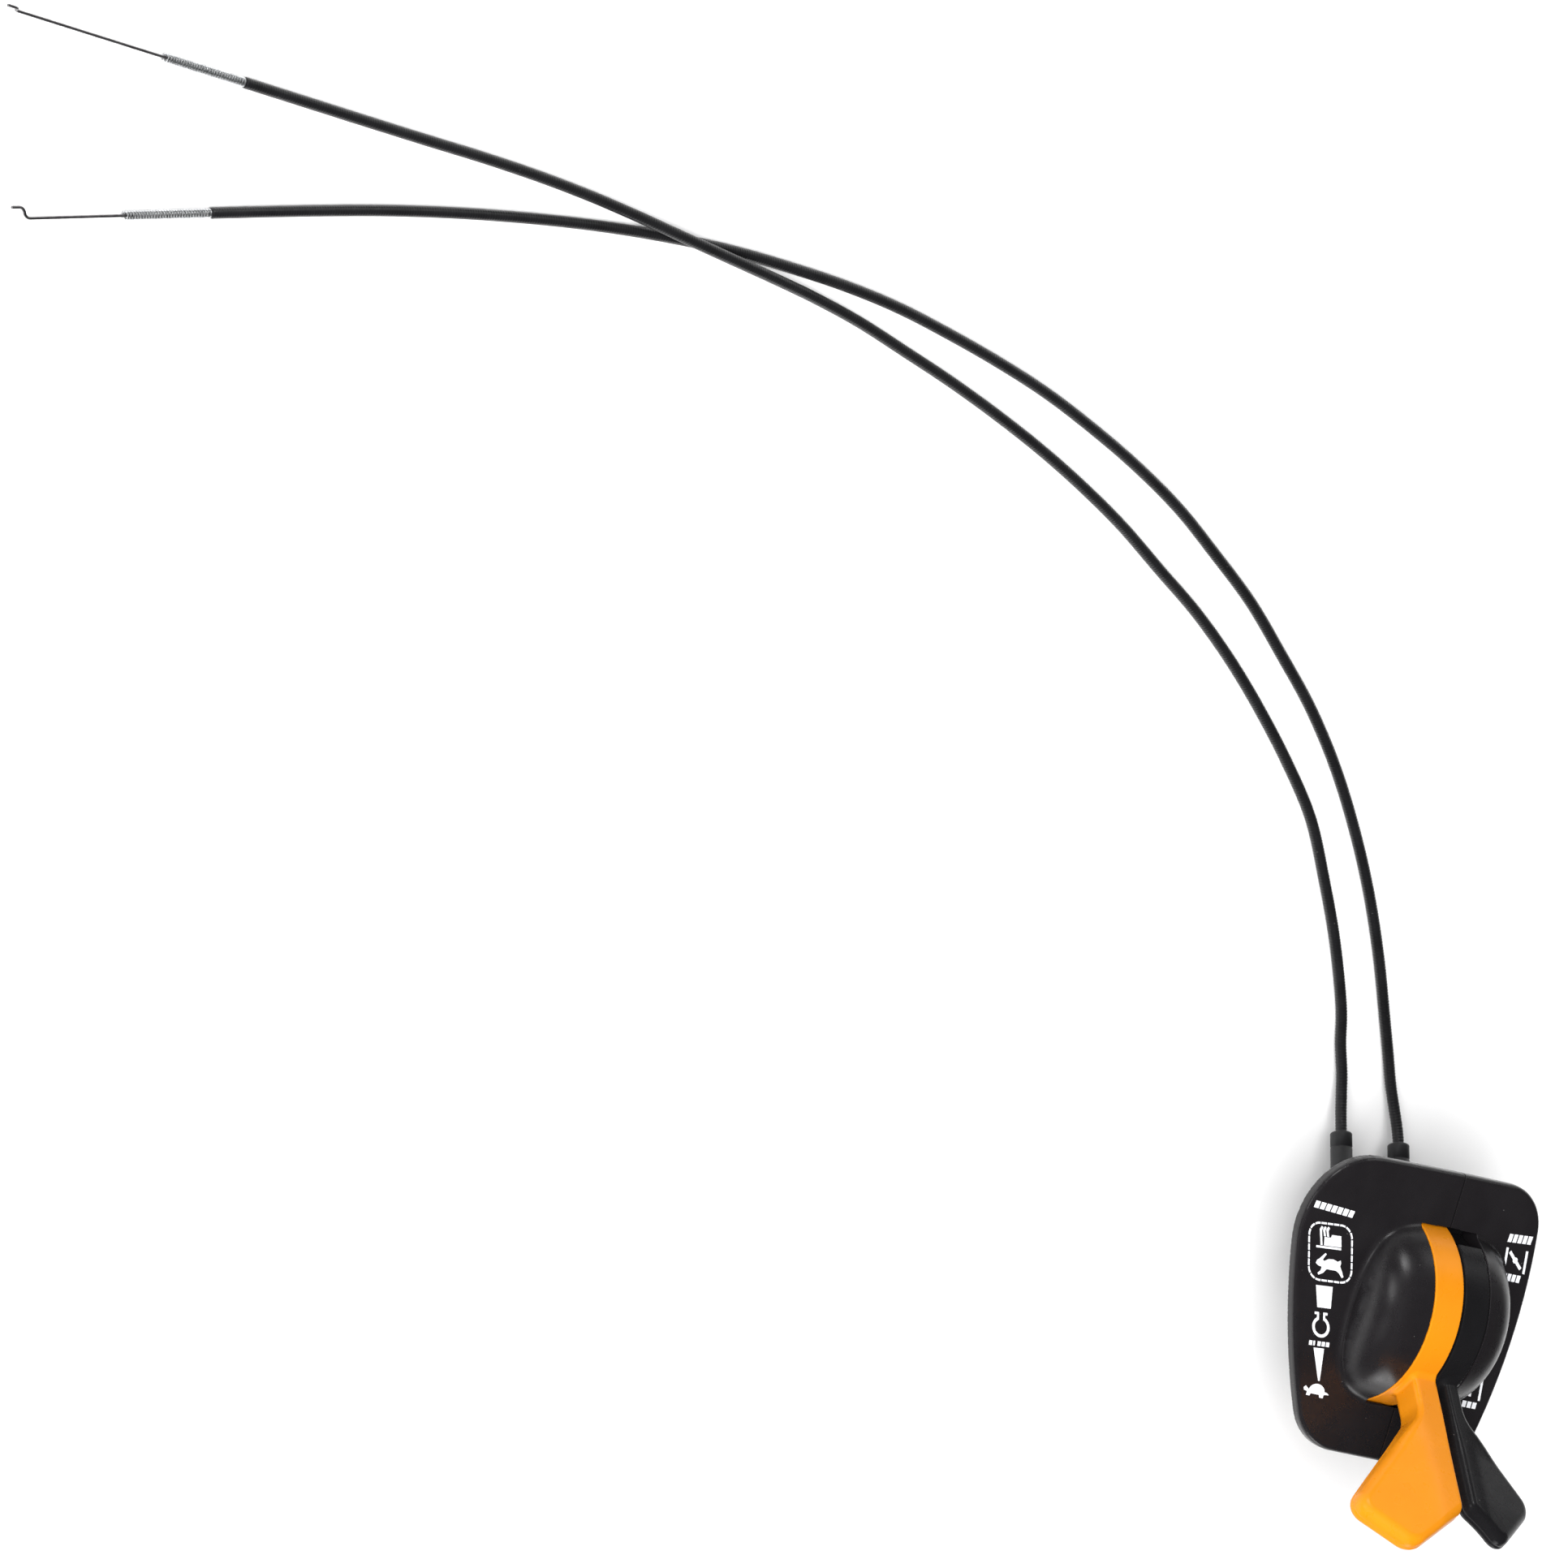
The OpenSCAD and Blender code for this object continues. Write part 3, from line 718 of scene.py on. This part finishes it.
def legend_print():
    """White printing ink, slightly uneven."""
    material, nodes, links, shader = new_material("legend_print", 0.5, (0.84, 0.86, 0.90))
    where = place_node(nodes)
    stops = [(0.25, (0.74, 0.75, 0.78)), (0.7, (0.80, 0.81, 0.84))]
    links.new(ramp(nodes, links, noise(nodes, links, where, 900), stops), shader.inputs["Base Color"])
    uneven = ramp(nodes, links, noise(nodes, links, where, 1500), [(0.3, 0.45), (0.75, 0.65)])
    links.new(uneven, shader.inputs["Roughness"])
    return material


# ---------------------------------------------------------------- housing


def plate_outline():
    """The plate's outline: four corner arcs joined by large, slightly bowed arcs."""
    def centre(a, b, r):
        a, b = np.array(a, float), np.array(b, float)
        span = b[:2] - a[:2]
        d = np.linalg.norm(span)
        u = span / d
        along = (d * d + (r - a[2]) ** 2 - (r - b[2]) ** 2) / (2 * d)
        return a[:2] + u * along + np.array((-u[1], u[0])) * math.sqrt((r - a[2]) ** 2 - along**2)

    def heading(v):
        return math.atan2(v[1], v[0])

    centres = [centre(CORNERS[k], CORNERS[(k + 1) % 4], SIDE_R[k]) for k in range(4)]
    line = []
    for k in range(4):
        corner = np.array(CORNERS[k], float)
        after = np.array(CORNERS[(k + 1) % 4], float)
        start, stop = heading(corner[:2] - centres[k - 1]), heading(corner[:2] - centres[k])
        stop += 2 * math.pi * (stop < start)
        end = heading(after[:2] - centres[k])
        end += 2 * math.pi * (end < stop)
        for a in np.linspace(start, stop, 14):
            line.append(corner[:2] + corner[2] * np.array((math.cos(a), math.sin(a))))
        for a in np.linspace(stop, end, 14)[1:-1]:
            line.append(centres[k] + SIDE_R[k] * np.array((math.cos(a), math.sin(a))))
    return line


def hump_profile():
    """Half section of a hump: distance out from the slot's wall, distance from the pivot."""
    out = HUMP_W * np.sin(np.linspace(0, math.pi / 2, 40))
    taper, inwards = 0.2, -8
    radius = (DISC_R - taper * out) * np.maximum(1 - (out / HUMP_W) ** HUMP_POWER, 0) ** (1 / HUMP_POWER)
    return [(inwards, 0), (inwards, DISC_R)] + list(zip(out, radius))


plate_field = Outline(plate_outline())
hump_field = Outline(hump_profile(), 0.15)


def cover_field(x, y, z, rho, slot_side, posts):
    """Plate and humps, hollow below except for the posts of the panel screws."""
    edge = plate_field(x, y)
    hump = hump_field(slot_side, rho)
    cover = join_round(clip_round(edge, z - PLATE_T, 2.2), hump, 2.2)
    cover = clip_round(cover, -z, 0.3)
    hollow = np.minimum(clip_round(edge + RIM_W, z - PLATE_T + WALL, 0.5), hump + WALL)
    hollow = np.maximum(np.maximum(hollow, POST_R - posts), DRUM_X - np.abs(x))
    return clip_round(cover, -hollow, 0.3)


def lower_field(x, y, z, rho, s, n):
    """Drum, bosses of the housing screws, tail and foot."""
    width = np.abs(x)
    drum = clip_round(np.where(z > PIVOT_Z, np.abs(y), rho) - DRUM_R, width - DRUM_X, 1.2)
    lower = np.maximum(drum, z - PLATE_T + WALL)
    for by, bz in SCREW_BOSSES:
        boss = clip_round(np.hypot(y - by, z - bz) - BOSS_R, width - BOSS_X, 0.6)
        lower = join_round(lower, boss, 1.5)
    web = np.maximum(np.abs(np.abs(y) - WEB_Y) - WEB_HALF[0], np.abs(z - WEB_Z) - WEB_HALF[1])
    lower = np.minimum(lower, np.maximum(web, width - BOSS_X))
    tail_side = np.maximum(x - CABLE_X[1], CABLE_X[0] - x) - TAIL_HALF_W
    tail = clip_round(np.abs(s - TAIL_S[0]) - TAIL_S[1], np.abs(n) - TAIL_HALF_W, 1.5)
    tail = clip_round(tail, tail_side, 2.0)
    foot = clip_round(np.abs(y - FOOT_Y[0]) - FOOT_Y[1], np.abs(z - FOOT_Z[0]) - FOOT_Z[1], 1.0)
    foot = clip_round(foot, width - BOSS_X, 1.0)
    return join_round(join_round(lower, tail, 2.0), foot, 1.5)


def cut_cavities(solid, x, y, z, rho, slot_side, posts, s, n):
    """Takes out the seats of the ferrules, the wires' bores, the slot, its pockets and the screw holes."""
    right = x > 0
    line = np.hypot(np.where(right, x - CABLE_X[1], x - CABLE_X[0]), n)
    collar = np.abs(s - FERRULE_S - COLLAR_H / 2) - COLLAR_H / 2 - 0.1
    solid = np.maximum(solid, -np.maximum(line - FERRULE_R - 0.05, FERRULE_S - 0.1 - s))
    solid = np.maximum(solid, -np.maximum(line - COLLAR_R - 0.1, collar))
    solid = np.maximum(solid, -np.maximum(line - WIRE_BORE_R, np.abs(s - WIRE_BORE_S[0]) - WIRE_BORE_S[1]))
    solid = clip_round(solid, -np.maximum(rho - CAVITY_R, slot_side), 0.35)
    pocket_side = np.maximum(x - POCKET_X[1], POCKET_X[0] - x)
    pocket = np.minimum(np.maximum(rho - WIRE_POCKET_R, z - WIRE_POCKET_Z), rho - WASHER_POCKET_R)
    solid = np.maximum(solid, -np.maximum(pocket, pocket_side))
    solid = np.maximum(solid, BOLT_HOLE_R - rho)
    solid = np.maximum(solid, -np.maximum(posts - PANEL_HOLE_R, z - PANEL_HOLE_DEPTH))
    for by, bz in SCREW_BOSSES:
        hole = np.hypot(y - by, z - bz) - np.where(right, SCREW_THREAD_R, SCREW_CLEARANCE_R)
        solid = np.maximum(solid, -hole)
    return solid


def housing_field(x, y, z):
    """Both halves of the housing; s and n run along and across the cables' straight lines."""
    rho = np.hypot(y, z - PIVOT_Z)
    slot_side = np.maximum(x - SLOT_X[1], SLOT_X[0] - x)
    posts = np.hypot(np.abs(x) - POST_X, np.abs(y) - POST_Y)
    s = y * math.cos(EXIT_ANGLE) - (z - PIVOT_Z) * math.sin(EXIT_ANGLE)
    n = y * math.sin(EXIT_ANGLE) + (z - PIVOT_Z) * math.cos(EXIT_ANGLE) + WIRE_DROP
    cover = cover_field(x, y, z, rho, slot_side, posts)
    solid = join_round(cover, lower_field(x, y, z, rho, s, n), 0.8)
    return cut_cavities(solid, x, y, z, rho, slot_side, posts, s, n)


def add_housing():
    """The two halves, each cut from the whole housing at its parting line."""
    split, margin = 0.07, 2
    low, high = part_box("housing_left")[0] / MM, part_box("housing_right")[1] / MM
    for name, sign in (("left", 1), ("right", -1)):
        start, stop = (low[0], 0) if sign > 0 else (0, high[0])
        half = moulding(
            f"housing_{name}_moulding",
            lambda x, y, z: clip_round(housing_field(x, y, z), sign * x + split, 0.25),
            (start - margin, low[1] - margin, low[2] - margin),
            (stop + margin, high[1] + margin, high[2] + margin),
            0.62,
        )
        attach(half, BODY)
        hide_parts(f"housing_{name}")
        dress(half, housing_plastic)


# ---------------------------------------------------------------- levers


def lever_field(side, outline, disc_outer, notched):
    """Disc, stem and paddle of one lever, as one moulding; side is -1 for the left one."""
    stem_w = outline[-1][0]
    flat = Outline(rounded(outline))
    hook_y, hook_z = HOOK_R * math.cos(HOOK_ANGLE), HOOK_R * math.sin(HOOK_ANGLE)

    def field(x, y, z):
        w, dz = side * x, z - PIVOT_Z
        rho = np.hypot(y, dz)
        out = -(y * math.cos(REST_ANGLE) - dz * math.sin(REST_ANGLE))
        t = y * math.sin(REST_ANGLE) + dz * math.cos(REST_ANGLE)
        disc = clip_round(clip_round(rho - DISC_R, w - disc_outer, 0.45), DISC_INNER - w, 0.45)
        if notched:
            height = y * math.sin(NOTCH_ANGLE) + dz * math.cos(NOTCH_ANGLE)
            across = y * math.cos(NOTCH_ANGLE) - dz * math.sin(NOTCH_ANGLE)
            notch = np.maximum(DISC_R - NOTCH_DEPTH - height, np.abs(across) - NOTCH_HALF_W)
            disc = clip_round(disc, -notch, 0.5)
        beyond = np.logaddexp(0, (w - stem_w) * 0.8) / 0.8
        paddle = smooth_step(out, *PADDLE_SPAN)
        top = FACE_T - math.tan(DROOP) * beyond * paddle - TIP_DIP * smooth_step(out, *DIP_SPAN)
        thick = STEM_T - PADDLE_THINNER * paddle - TIP_THINNER * smooth_step(out, *THIN_SPAN)
        draft = 0.16 * paddle * np.clip(top - t, 0, 14)
        seam = 0.25 * paddle * np.exp(-((t - top + 0.62 * thick) / 0.45) ** 2)
        arm = clip_round(flat(w, out) - draft + seam + 0.3 * paddle, (t - top) * 0.98, 2.2 + 1.2 * paddle)
        arm = clip_round(arm, (top - thick - t) * 0.98, 3.0)
        solid = join_round(disc, arm, 2.2)
        solid = clip_round(solid, DISC_INNER - w, 0.9)
        solid = np.maximum(solid, SLEEVE_HOLE_R - rho)
        solid = np.maximum(solid, HOOK_HOLE_R - np.hypot(y - hook_y, dz - hook_z))
        return np.maximum(solid, -np.maximum(rho - DIVIDER_POCKET[0], w - DIVIDER_POCKET[1]))

    return field


def add_lever(kind, side, outline, disc_outer, notched, material):
    low, high = (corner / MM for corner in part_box(f"{kind}_lever"))
    margin = Vector((3, 3, 3))
    field = lever_field(side, outline, disc_outer, notched)
    lever = moulding(f"{kind}_lever_moulding", field, low - margin, high + margin, 0.6)
    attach(lever, f"{kind}_lever")
    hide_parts(f"{kind}_lever")
    dress(lever, material)


# ---------------------------------------------------------------- printed legend


def prism(points, low=PLATE_T - 0.02, high=PLATE_T + 0.06):
    """A thin flat shape on the plate, as points and triangles."""
    n = len(points)
    flat = np.array(points, float)
    area = 0.5 * np.sum(flat[:, 0] * np.roll(flat[:, 1], -1) - np.roll(flat[:, 0], -1) * flat[:, 1])
    if area < 0:
        flat = flat[::-1]
    ears = np.array(tessellate_polygon([[Vector((x, y, 0)) for x, y in flat]]), int)
    turn = np.array([np.cross(flat[b] - flat[a], flat[c] - flat[a]) for a, b, c in ears])
    ears[turn < 0] = ears[turn < 0][:, ::-1]
    a = np.arange(n)
    b = (a + 1) % n
    sides = np.concatenate([np.stack([a, b, b + n], 1), np.stack([a, b + n, a + n], 1)])
    points = np.concatenate([np.c_[flat, np.full(n, low)], np.c_[flat, np.full(n, high)]])
    return points, np.concatenate([ears[:, ::-1], ears + n, sides])


def strip(a, b, width):
    """A straight stroke from a to b."""
    a, b = np.array(a, float), np.array(b, float)
    u = (b - a) / np.linalg.norm(b - a)
    v = np.array((-u[1], u[0])) * width / 2
    return [a + v, a - v, b - v, b + v]


class Print:
    """Collects flat shapes in a slanted frame on the plate, and makes one piece of them."""

    def __init__(self, origin, across=(1, 0), up=(0, 1)):
        self.origin, self.across, self.up = (np.array(v, float) for v in (origin, across, up))
        self.points, self.faces, self.count = [], [], 0

    def move(self, origin):
        self.origin = np.array(origin, float)

    def put(self, shape):
        placed = [self.origin + x * self.across + y * self.up for x, y in shape]
        points, faces = prism(placed)
        self.points.append(points)
        self.faces.append(faces + self.count)
        self.count += len(points)

    def bars(self, width, height, parts, lean=0.15):
        """A row of plain bars in the place of a word."""
        step = width / len(parts)
        for k, share in enumerate(parts):
            x = -width / 2 + k * step
            w = step * share
            top = x + lean * height
            self.put([(x, -height / 2), (x + w, -height / 2), (top + w, height / 2), (top, height / 2)])

    def finish(self, name):
        points = np.concatenate(self.points) * MM
        piece = make_object(name, points, np.concatenate(self.faces), smooth=False)
        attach(piece, BODY)
        dress(piece, legend_print)


def add_throttle_legend():
    """Bars for the word, load sign and hare in a frame, wedge, speed ring, unit bars, wedge, tortoise."""
    p = Print((-60.9, 36.2), (1, -0.06), (0.0, 1))
    p.bars(21.5, 2.9, (0.8,) * 7)
    p.across, p.up = np.array((1, 0.06)), np.array((-0.342, 0.94))
    p.move((-56.3, 18.5))
    add_dashed_frame(p, 11.1, 12.2, 5.5)
    add_load_icon(p, (-58.9, 23.5))
    add_hare(p, (-54.8, 13.0))
    p.move((-52.6, 0.3))
    p.put([(-4.3, 4.7), (4.3, 4.7), (3.5, -4.7), (-3.5, -4.7)])
    add_speed_ring(p, (-49.6, -12.0))
    p.move((-47.8, -18.8))
    p.bars(11, 2.0, (0.75, 0.4, 0.75, 0.75, 0.75))
    p.move((-47.4, -20.6))
    p.put([(-2.7, 0), (2.7, 0), (0.7, -14.0), (-0.1, -14.0)])
    add_tortoise(p, (-41.9, -37.8))
    p.finish("throttle_legend")


def add_dashed_frame(p, half_w, half_h, r):
    """A rounded rectangle of dashes."""
    path = []
    for cx, cy, start in ((1, 1, 0), (-1, 1, 90), (-1, -1, 180), (1, -1, 270)):
        for a in np.radians(np.linspace(start, start + 90, 7)):
            path.append((cx * (half_w - r) + r * math.cos(a), cy * (half_h - r) + r * math.sin(a)))
    path = np.array(path + path[:1])
    along = np.r_[0, np.cumsum(np.linalg.norm(np.diff(path, axis=0), axis=1))]
    dashes = 26
    for k in range(dashes):
        at = along[-1] * (k + np.array((0.06, 0.5, 0.9))) / dashes
        spots = [np.array([np.interp(v, along, path[:, c]) for c in (0, 1)]) for v in at]
        chord = spots[2] - spots[0]
        side = np.array((-chord[1], chord[0])) / np.linalg.norm(chord) * 0.42
        p.put([spot + side for spot in spots] + [spot - side for spot in spots[::-1]])


def add_load_icon(p, place):
    """A machine under load: a body on a base line, with three plumes."""
    p.move(place)
    p.put([(-6.6, -3.8), (6.3, -3.8), (6.3, -2.9), (-6.6, -2.9)])
    p.put([(-2.6, -2.6), (6.4, -2.6), (6.2, 2.2), (1.4, 2.2), (1.0, 1.0), (-2.4, 1.0)])
    for k in range(3):
        x = -4.4 + 1.7 * k
        foot = 1.3 if k else -2.6
        p.put([(x, foot), (x + 1.0, foot), (x + 0.6, 3.6), (x + 1.3, 5.0), (x + 0.5, 5.6), (x - 0.5, 4.2)])


def add_hare(p, place):
    """A running hare, facing left."""
    p.move(place)
    p.put([
        (-7.0, 0.8), (-6.2, 2.2), (-5.2, 2.7), (-2.0, 5.4), (-1.4, 4.9), (-3.4, 2.5), (-2.6, 1.9),
        (-0.6, 2.9), (2.0, 3.1), (4.4, 2.3), (5.9, 3.0), (6.1, 1.7), (5.6, 0.4), (6.6, -1.6),
        (7.4, -4.0), (6.5, -4.4), (4.9, -2.4), (3.4, -1.6), (1.0, -1.5), (-1.4, -1.4), (-3.2, -3.2),
        (-5.6, -4.2), (-6.0, -3.4), (-4.4, -2.2), (-3.9, -0.6), (-5.8, -0.2),
    ])


def add_speed_ring(p, place):
    """A ring that is open at its top, with a neck and two flanges, for engine speed."""
    p.move(place)
    outer, inner, half_gap = 4.5, 3.2, 0.49
    around = np.linspace(math.pi / 2 + half_gap, math.pi * 2.5 - half_gap, 30)
    ring = [(outer * math.cos(a), outer * math.sin(a)) for a in around]
    within = np.linspace(math.pi * 2.5 - 0.35, math.pi / 2 + 0.35, 30)
    hole = [(inner * math.cos(a), inner * math.sin(a)) for a in within]
    left = [(-1.1, 6.3), (-3.3, 6.3), (-3.3, 5.2), (-2.1, 5.2)]
    p.put(left + ring + [(-x, y) for x, y in left[::-1]] + hole)


def add_tortoise(p, place):
    """A tortoise, facing left."""
    p.across, p.up = np.array((1, 0.0)), np.array((-0.1, 1))
    p.move(place)
    shell = [(4.2 * math.cos(a), 3.3 * math.sin(a) - 0.5) for a in np.linspace(0.15, math.pi - 0.15, 14)]
    p.put([(6.6, -0.9), (5.6, -0.2)] + shell + [
        (-4.9, 0.5), (-6.0, 1.3), (-7.0, 0.5), (-6.6, -0.6), (-4.9, -0.9), (-5.0, -2.5), (-3.2, -2.5),
        (-2.8, -1.5), (1.6, -1.5), (2.0, -2.6), (3.9, -2.6), (4.0, -1.2),
    ])


def add_choke_symbol(p, place, a, b):
    """Two walls of an air duct, and its flap from a to b on a pivot."""
    p.move(place)
    p.put(strip((-4.8, 4.7), (-4.8, -4.7), 1.15))
    p.put(strip((5.6, 4.7), (5.6, -4.7), 1.15))
    a, b = np.array(a, float), np.array(b, float)
    u = (b - a) / np.linalg.norm(b - a)
    v = np.array((-u[1], u[0]))
    middle = (a + b) / 2
    flap, hub = 0.7 * v, 1.25 * v
    bump = [middle - u + flap, middle - 0.5 * u + hub, middle + 0.5 * u + hub, middle + u + flap]
    top = [a + flap] + bump
    p.put(top + [b + flap] + [2 * middle - spot for spot in top] + [a - flap])


def add_choke_legend():
    """Bars and a closed flap above, an open flap and bars below."""
    p = Print((36.6, 39.5), (1, 0.055), (-0.1, 1))
    p.bars(12.6, 3.4, (0.76,) * 5)
    p.across, p.up = np.array((1, 0.0)), np.array((-0.155, 1))
    add_choke_symbol(p, (37.1, 30.5), (-3.2, 3.2), (3.6, -3.0))
    p.move((36.9, 23.3))
    p.bars(12.0, 3.0, (0.76,) * 5)
    add_choke_symbol(p, (34.4, -24.0), (0.4, 3.4), (0.4, -3.6))
    p.move((36.6, -31.0))
    p.bars(8.0, 2.6, (0.76,) * 3)
    p.finish("choke_legend")


# ---------------------------------------------------------------- the whole

add_camera()
add_cable("throttle", 0, THROTTLE_ROUTE, THROTTLE_END)
add_cable("choke", 1, CHOKE_ROUTE, CHOKE_END)
add_housing()
add_lever("throttle", -1, THROTTLE_OUTLINE, -DISC_OUTER[0], False, orange_plastic)
add_lever("choke", 1, CHOKE_OUTLINE, DISC_OUTER[1], True, black_plastic)
add_throttle_legend()
add_choke_legend()
for node in (
    "pivot_bolt", "pivot_nut", "pivot_washers", "pivot_sleeve", "divider_plate",
    "throttle_friction_washer", "choke_friction_washer", "housing_screws",
):
    dress(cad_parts[node], zinc_steel)
for node in ("throttle_wire_head", "choke_wire_head", "throttle_wire_end", "choke_wire_end"):
    dress(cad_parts[node], wire_steel)
add_stage()
